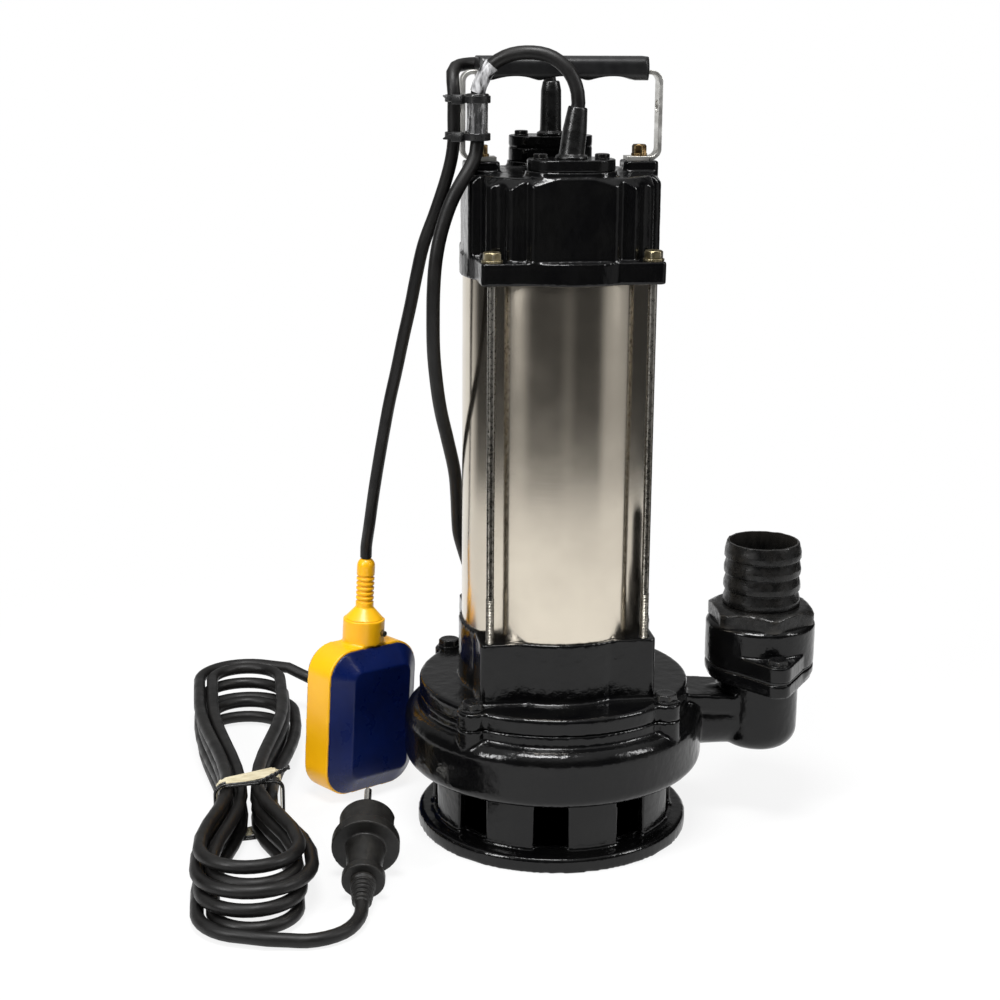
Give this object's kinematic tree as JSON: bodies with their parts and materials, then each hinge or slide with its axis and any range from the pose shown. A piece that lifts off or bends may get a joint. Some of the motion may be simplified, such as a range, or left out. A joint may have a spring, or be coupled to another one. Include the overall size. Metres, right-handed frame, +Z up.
{
  "type": "submersible sump pump",
  "caption": "Upright submersible pump with a steel motor tube, strainer base, side hose tail, carry handle, hanging float switch and a hanked power cord with plug.",
  "frame": {"origin": "on the motor's axis at the underside of the foot ring", "axes": "+Z up along the motor shaft, +X towards the discharge elbow and hose tail"},
  "size_m": [0.4185, 0.4134, 0.5113],
  "materials": {
    "cast_black": "gloss black paint over rough casting",
    "black_fastener": "painted over",
    "plated_bolt": "yellow zinc plate",
    "bronze_bolt": "dulled yellow zinc plate",
    "bright_screw": "plain zinc plate",
    "stainless_tube": "brushed round the tube",
    "strap_steel": "satin",
    "grip_plastic": "semi-gloss",
    "cord_rubber": "matte",
    "boot_rubber": "satin",
    "plug_plastic": "fine matte",
    "plug_metal": "polished",
    "seal_rubber": "matte",
    "tie_plastic": "satin",
    "sleeve_foil": "crinkled foil tape",
    "tape": "pale crepe tape",
    "twist_wire": "thin coated wire",
    "float_yellow": "satin moulding",
    "float_blue": "satin moulding",
    "switch_plastic": "plain",
    "spring_brass": "plain",
    "ball_steel": "polished",
    "race_steel": "ground",
    "impeller_iron": "as cast",
    "shaft_steel": "turned",
    "core_steel": "laminated",
    "winding_copper": "lacquered wire",
    "seal_ceramic": "lapped",
    "seal_carbon": "lapped",
    "bracket_metal": "machined",
    "capacitor_case": "plain",
    "clamp_black": "plain",
    "terminal_white": "plain"
  },
  "bodies": {
    "pump": {"suction_base": "cast_black", "volute_casing": "cast_black", "discharge_flange": "cast_black", "hose_tail": "cast_black", "bearing_housing": "cast_black", "top_cap": "cast_black", "power_gland": "cast_black", "float_gland": "cast_black", "casing_bolts": "black_fastener", "discharge_bolts": "black_fastener", "tie_bolts": "plated_bolt", "handle_bolts": "bronze_bolt", "base_screws": "bright_screw", "gland_screws": "bright_screw", "oil_plug": "bright_screw", "motor_tube": "stainless_tube", "handle_strap": "strap_steel", "handle_grip": "grip_plastic", "power_cord": "cord_rubber", "cord_hank": "cord_rubber", "plug_lead": "cord_rubber", "float_cord": "cord_rubber", "power_boot": "boot_rubber", "float_boot": "boot_rubber", "plug_relief": "boot_rubber", "plug_body": "plug_plastic", "plug_pins": "plug_metal", "casing_seal": "seal_rubber", "tube_seals": "seal_rubber", "discharge_gasket": "seal_rubber", "cable_ties": "tie_plastic", "cord_sleeve": "sleeve_foil", "hank_tie": "tape", "hank_twist": "twist_wire", "lower_bearing_outer": "race_steel", "upper_bearing_outer": "race_steel", "stator_core": "core_steel", "stator_windings": "winding_copper", "seal_seat": "seal_ceramic", "bearing_bracket": "bracket_metal", "capacitor": "capacitor_case", "capacitor_clamp": "clamp_black", "terminal_block": "terminal_white"},
    "rotor": {"shaft": "shaft_steel", "rotor_core": "core_steel", "lower_bearing_inner": "race_steel", "upper_bearing_inner": "race_steel", "seal_ring": "seal_carbon", "impeller": "impeller_iron", "impeller_nut": "shaft_steel"},
    "lower_balls": {"lower_bearing_balls": "ball_steel"},
    "upper_balls": {"upper_bearing_balls": "ball_steel"},
    "float": {"float_frame": "float_yellow", "float_faces": "float_blue", "float_neck": "float_yellow", "float_screw": "bright_screw", "float_switch": "switch_plastic"},
    "float_ball": {"float_ball": "ball_steel"},
    "float_lever": {"float_lever": "spring_brass"}
  },
  "joints": [
    {"name": "rotor_spin", "type": "hinge", "parent": "pump", "child": "rotor", "pos_m": [0, 0, 0.12], "axis": [0, 0, 1], "continuous": true},
    {"name": "lower_balls_spin", "type": "hinge", "parent": "pump", "child": "lower_balls", "pos_m": [0, 0, 0.128], "axis": [0, 0, 1], "continuous": true},
    {"name": "upper_balls_spin", "type": "hinge", "parent": "pump", "child": "upper_balls", "pos_m": [0, 0, 0.355], "axis": [0, 0, 1], "continuous": true},
    {"name": "float_swing", "type": "hinge", "parent": "pump", "child": "float", "pos_m": [-0.1188, 0.072, 0.16], "axis": [0.9848, -0.174, 0], "range_deg": [0, 90]},
    {"name": "ball_roll", "type": "slide", "parent": "float", "child": "float_ball", "axis": [0.05, 0.035, 0.9981], "range_m": [0, 0.03]},
    {"name": "lever_tip", "type": "hinge", "parent": "float", "child": "float_lever", "pos_m": [-0.13196, 0.06279, 0.05298], "axis": [0.5736, -0.8191, 0], "range_deg": [0, 8]}
  ],
  "couplings": [
    {"joint": "lower_balls_spin", "follows": "rotor_spin", "ratio": 0.3836},
    {"joint": "upper_balls_spin", "follows": "rotor_spin", "ratio": 0.3842},
    {"joint": "lever_tip", "follows": "ball_roll", "rad_per_m": 4.65}
  ]
}
